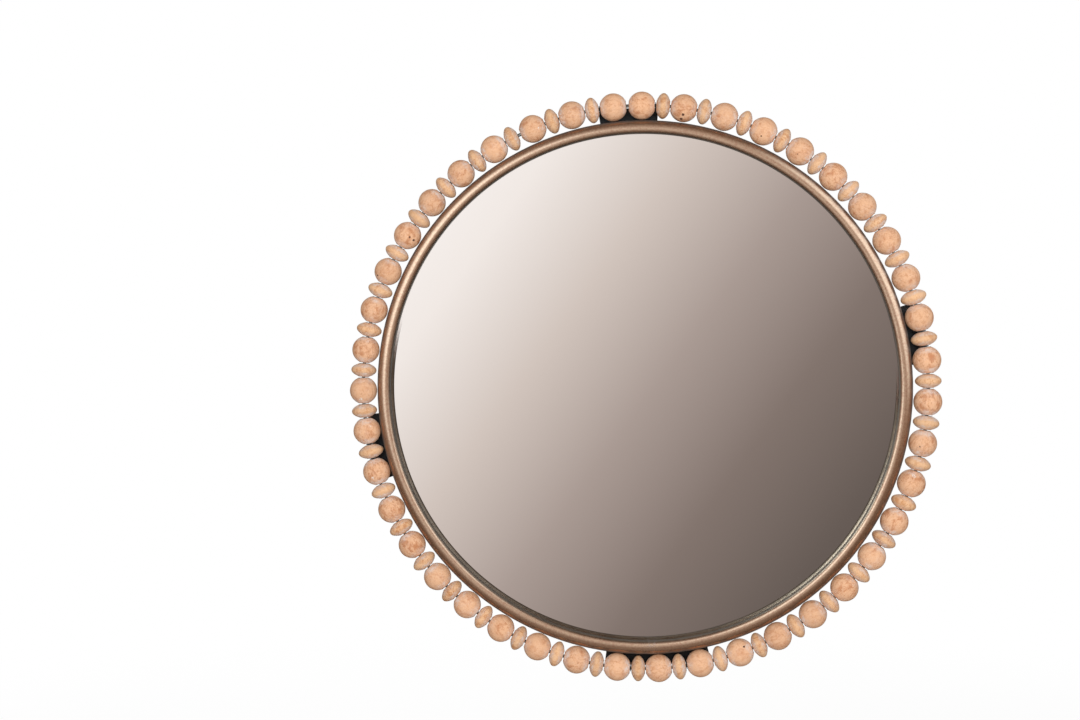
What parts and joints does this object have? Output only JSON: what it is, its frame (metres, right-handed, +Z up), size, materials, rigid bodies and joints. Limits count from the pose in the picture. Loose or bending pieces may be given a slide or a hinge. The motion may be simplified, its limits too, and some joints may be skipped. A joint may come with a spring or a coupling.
{
  "type": "round beaded wall mirror",
  "caption": "Round wall mirror in a slim aged-bronze tube frame, ringed by turned wooden balls and flatter discs threaded on a wire hoop, with keyhole hangers at the back.",
  "frame": {"origin": "centre of the ring on the wall plane, which is the backing board's rear face", "axes": "+Z up, +X to the right as seen from the front, +Y towards the wall; the mirror faces -Y"},
  "size_m": [0.6086, 0.0335, 0.6082],
  "materials": {
    "aged_bronze": "satin, aged bronze, darker in its edges",
    "mirror": "polished",
    "ball_wood": "matt, limewashed light wood with a peach tone",
    "disc_wood": "matt, limewashed light wood, more golden",
    "wire": "dull drawn steel wire",
    "black_steel": "matt black paint",
    "board": "plain fibreboard",
    "zinc": "bright zinc plate",
    "foam": "black closed-cell foam"
  },
  "bodies": {
    "frame": {"frame_tube": "aged_bronze", "rear_band": "aged_bronze", "board_tabs": "aged_bronze", "glazing_strip": "foam", "mirror_glass": "mirror", "backing_board": "board", "hanger_plates": "zinc", "hanger_screws": "zinc", "bead_hoop": "wire", "bracket_top": "black_steel", "bracket_right": "black_steel", "bracket_bottom": "black_steel", "bracket_left": "black_steel", "discs_right": "disc_wood", "discs_left": "disc_wood"},
    "ball_01": {"ball_01": "ball_wood"},
    "ball_02": {"ball_02": "ball_wood"},
    "ball_03": {"ball_03": "ball_wood"},
    "ball_04": {"ball_04": "ball_wood"},
    "ball_05": {"ball_05": "ball_wood"},
    "ball_06": {"ball_06": "ball_wood"},
    "ball_07": {"ball_07": "ball_wood"},
    "ball_08": {"ball_08": "ball_wood"},
    "ball_09": {"ball_09": "ball_wood"},
    "ball_10": {"ball_10": "ball_wood"},
    "ball_11": {"ball_11": "ball_wood"},
    "ball_12": {"ball_12": "ball_wood"},
    "ball_13": {"ball_13": "ball_wood"},
    "ball_14": {"ball_14": "ball_wood"},
    "ball_15": {"ball_15": "ball_wood"},
    "ball_16": {"ball_16": "ball_wood"},
    "ball_17": {"ball_17": "ball_wood"},
    "ball_18": {"ball_18": "ball_wood"},
    "ball_19": {"ball_19": "ball_wood"},
    "ball_20": {"ball_20": "ball_wood"},
    "ball_21": {"ball_21": "ball_wood"},
    "ball_22": {"ball_22": "ball_wood"},
    "ball_23": {"ball_23": "ball_wood"},
    "ball_24": {"ball_24": "ball_wood"},
    "ball_25": {"ball_25": "ball_wood"},
    "ball_26": {"ball_26": "ball_wood"},
    "ball_27": {"ball_27": "ball_wood"},
    "ball_28": {"ball_28": "ball_wood"},
    "ball_29": {"ball_29": "ball_wood"},
    "ball_30": {"ball_30": "ball_wood"},
    "ball_31": {"ball_31": "ball_wood"},
    "ball_32": {"ball_32": "ball_wood"},
    "ball_33": {"ball_33": "ball_wood"},
    "ball_34": {"ball_34": "ball_wood"},
    "ball_35": {"ball_35": "ball_wood"},
    "ball_36": {"ball_36": "ball_wood"},
    "ball_37": {"ball_37": "ball_wood"},
    "ball_38": {"ball_38": "ball_wood"},
    "ball_39": {"ball_39": "ball_wood"},
    "ball_40": {"ball_40": "ball_wood"},
    "ball_41": {"ball_41": "ball_wood"},
    "ball_42": {"ball_42": "ball_wood"},
    "ball_43": {"ball_43": "ball_wood"}
  },
  "joints": [
    {"name": "ball_01_turn", "type": "hinge", "parent": "frame", "child": "ball_01", "pos_m": [0.0005, -0.0192, 0.29014], "axis": [1, 0, -0.0017], "continuous": true},
    {"name": "ball_02_turn", "type": "hinge", "parent": "frame", "child": "ball_02", "pos_m": [0.04338, -0.0192, 0.28688], "axis": [0.9888, 0, -0.1495], "continuous": true},
    {"name": "ball_03_turn", "type": "hinge", "parent": "frame", "child": "ball_03", "pos_m": [0.08464, -0.0192, 0.27753], "axis": [0.9565, 0, -0.2917], "continuous": true},
    {"name": "ball_04_turn", "type": "hinge", "parent": "frame", "child": "ball_04", "pos_m": [0.1241, -0.0192, 0.26227], "axis": [0.9039, 0, -0.4277], "continuous": true},
    {"name": "ball_05_turn", "type": "hinge", "parent": "frame", "child": "ball_05", "pos_m": [0.16092, -0.0192, 0.24143], "axis": [0.8321, 0, -0.5546], "continuous": true},
    {"name": "ball_06_turn", "type": "hinge", "parent": "frame", "child": "ball_06", "pos_m": [0.19432, -0.0192, 0.21546], "axis": [0.7426, 0, -0.6697], "continuous": true},
    {"name": "ball_07_turn", "type": "hinge", "parent": "frame", "child": "ball_07", "pos_m": [0.22359, -0.0192, 0.18491], "axis": [0.6373, 0, -0.7706], "continuous": true},
    {"name": "ball_08_turn", "type": "hinge", "parent": "frame", "child": "ball_08", "pos_m": [0.2481, -0.0192, 0.15043], "axis": [0.5185, 0, -0.8551], "continuous": true},
    {"name": "ball_09_turn", "type": "hinge", "parent": "frame", "child": "ball_09", "pos_m": [0.26734, -0.0192, 0.11275], "axis": [0.3886, 0, -0.9214], "continuous": true},
    {"name": "ball_10_turn", "type": "hinge", "parent": "frame", "child": "ball_10", "pos_m": [0.2809, -0.0192, 0.07268], "axis": [0.2505, 0, -0.9681], "continuous": true},
    {"name": "ball_11_turn", "type": "hinge", "parent": "frame", "child": "ball_11", "pos_m": [0.28863, -0.0192, 0.02966], "axis": [0.1022, 0, -0.9948], "continuous": true},
    {"name": "ball_12_turn", "type": "hinge", "parent": "frame", "child": "ball_12", "pos_m": [0.28987, -0.0192, -0.01263], "axis": [-0.0435, 0, -0.9991], "continuous": true},
    {"name": "ball_13_turn", "type": "hinge", "parent": "frame", "child": "ball_13", "pos_m": [0.28495, -0.0192, -0.05465], "axis": [-0.1883, 0, -0.9821], "continuous": true},
    {"name": "ball_14_turn", "type": "hinge", "parent": "frame", "child": "ball_14", "pos_m": [0.27398, -0.0192, -0.09551], "axis": [-0.3292, 0, -0.9443], "continuous": true},
    {"name": "ball_15_turn", "type": "hinge", "parent": "frame", "child": "ball_15", "pos_m": [0.25718, -0.0192, -0.13433], "axis": [-0.463, 0, -0.8864], "continuous": true},
    {"name": "ball_16_turn", "type": "hinge", "parent": "frame", "child": "ball_16", "pos_m": [0.23491, -0.0192, -0.1703], "axis": [-0.587, 0, -0.8096], "continuous": true},
    {"name": "ball_17_turn", "type": "hinge", "parent": "frame", "child": "ball_17", "pos_m": [0.20764, -0.0192, -0.20265], "axis": [-0.6985, 0, -0.7157], "continuous": true},
    {"name": "ball_18_turn", "type": "hinge", "parent": "frame", "child": "ball_18", "pos_m": [0.17597, -0.0192, -0.2307], "axis": [-0.7951, 0, -0.6065], "continuous": true},
    {"name": "ball_19_turn", "type": "hinge", "parent": "frame", "child": "ball_19", "pos_m": [0.14055, -0.0192, -0.25383], "axis": [-0.8748, 0, -0.4844], "continuous": true},
    {"name": "ball_20_turn", "type": "hinge", "parent": "frame", "child": "ball_20", "pos_m": [0.10214, -0.0192, -0.27157], "axis": [-0.936, 0, -0.352], "continuous": true},
    {"name": "ball_21_turn", "type": "hinge", "parent": "frame", "child": "ball_21", "pos_m": [0.06156, -0.0192, -0.28354], "axis": [-0.9772, 0, -0.2122], "continuous": true},
    {"name": "ball_22_turn", "type": "hinge", "parent": "frame", "child": "ball_22", "pos_m": [0.01897, -0.0192, -0.28952], "axis": [-0.9979, 0, -0.0654], "continuous": true},
    {"name": "ball_23_turn", "type": "hinge", "parent": "frame", "child": "ball_23", "pos_m": [-0.02403, -0.0192, -0.28915], "axis": [-0.9966, 0, 0.0828], "continuous": true},
    {"name": "ball_24_turn", "type": "hinge", "parent": "frame", "child": "ball_24", "pos_m": [-0.06621, -0.0192, -0.28249], "axis": [-0.9736, 0, 0.2282], "continuous": true},
    {"name": "ball_25_turn", "type": "hinge", "parent": "frame", "child": "ball_25", "pos_m": [-0.10695, -0.0192, -0.26971], "axis": [-0.9296, 0, 0.3686], "continuous": true},
    {"name": "ball_26_turn", "type": "hinge", "parent": "frame", "child": "ball_26", "pos_m": [-0.14538, -0.0192, -0.2511], "axis": [-0.8654, 0, 0.5011], "continuous": true},
    {"name": "ball_27_turn", "type": "hinge", "parent": "frame", "child": "ball_27", "pos_m": [-0.18066, -0.0192, -0.22704], "axis": [-0.7825, 0, 0.6227], "continuous": true},
    {"name": "ball_28_turn", "type": "hinge", "parent": "frame", "child": "ball_28", "pos_m": [-0.21203, -0.0192, -0.19806], "axis": [-0.6826, 0, 0.7308], "continuous": true},
    {"name": "ball_29_turn", "type": "hinge", "parent": "frame", "child": "ball_29", "pos_m": [-0.2388, -0.0192, -0.1648], "axis": [-0.568, 0, 0.823], "continuous": true},
    {"name": "ball_30_turn", "type": "hinge", "parent": "frame", "child": "ball_30", "pos_m": [-0.2604, -0.0192, -0.12797], "axis": [-0.441, 0, 0.8975], "continuous": true},
    {"name": "ball_31_turn", "type": "hinge", "parent": "frame", "child": "ball_31", "pos_m": [-0.27636, -0.0192, -0.08836], "axis": [-0.3045, 0, 0.9525], "continuous": true},
    {"name": "ball_32_turn", "type": "hinge", "parent": "frame", "child": "ball_32", "pos_m": [-0.2865, -0.0192, -0.04585], "axis": [-0.158, 0, 0.9874], "continuous": true},
    {"name": "ball_33_turn", "type": "hinge", "parent": "frame", "child": "ball_33", "pos_m": [-0.29013, -0.0192, -0.0033], "axis": [-0.0114, 0, 0.9999], "continuous": true},
    {"name": "ball_34_turn", "type": "hinge", "parent": "frame", "child": "ball_34", "pos_m": [-0.28747, -0.0192, 0.03932], "axis": [0.1355, 0, 0.9908], "continuous": true},
    {"name": "ball_35_turn", "type": "hinge", "parent": "frame", "child": "ball_35", "pos_m": [-0.27859, -0.0192, 0.08108], "axis": [0.2795, 0, 0.9602], "continuous": true},
    {"name": "ball_36_turn", "type": "hinge", "parent": "frame", "child": "ball_36", "pos_m": [-0.26367, -0.0192, 0.12109], "axis": [0.4174, 0, 0.9087], "continuous": true},
    {"name": "ball_37_turn", "type": "hinge", "parent": "frame", "child": "ball_37", "pos_m": [-0.24304, -0.0192, 0.15848], "axis": [0.5462, 0, 0.8376], "continuous": true},
    {"name": "ball_38_turn", "type": "hinge", "parent": "frame", "child": "ball_38", "pos_m": [-0.21715, -0.0192, 0.19244], "axis": [0.6632, 0, 0.7484], "continuous": true},
    {"name": "ball_39_turn", "type": "hinge", "parent": "frame", "child": "ball_39", "pos_m": [-0.18655, -0.0192, 0.22222], "axis": [0.7659, 0, 0.643], "continuous": true},
    {"name": "ball_40_turn", "type": "hinge", "parent": "frame", "child": "ball_40", "pos_m": [-0.15192, -0.0192, 0.2472], "axis": [0.852, 0, 0.5236], "continuous": true},
    {"name": "ball_41_turn", "type": "hinge", "parent": "frame", "child": "ball_41", "pos_m": [-0.11187, -0.0192, 0.26771], "axis": [0.9227, 0, 0.3856], "continuous": true},
    {"name": "ball_42_turn", "type": "hinge", "parent": "frame", "child": "ball_42", "pos_m": [-0.07136, -0.0192, 0.28123], "axis": [0.9693, 0, 0.246], "continuous": true},
    {"name": "ball_43_turn", "type": "hinge", "parent": "frame", "child": "ball_43", "pos_m": [-0.02881, -0.0192, 0.28871], "axis": [0.9951, 0, 0.0993], "continuous": true}
  ]
}
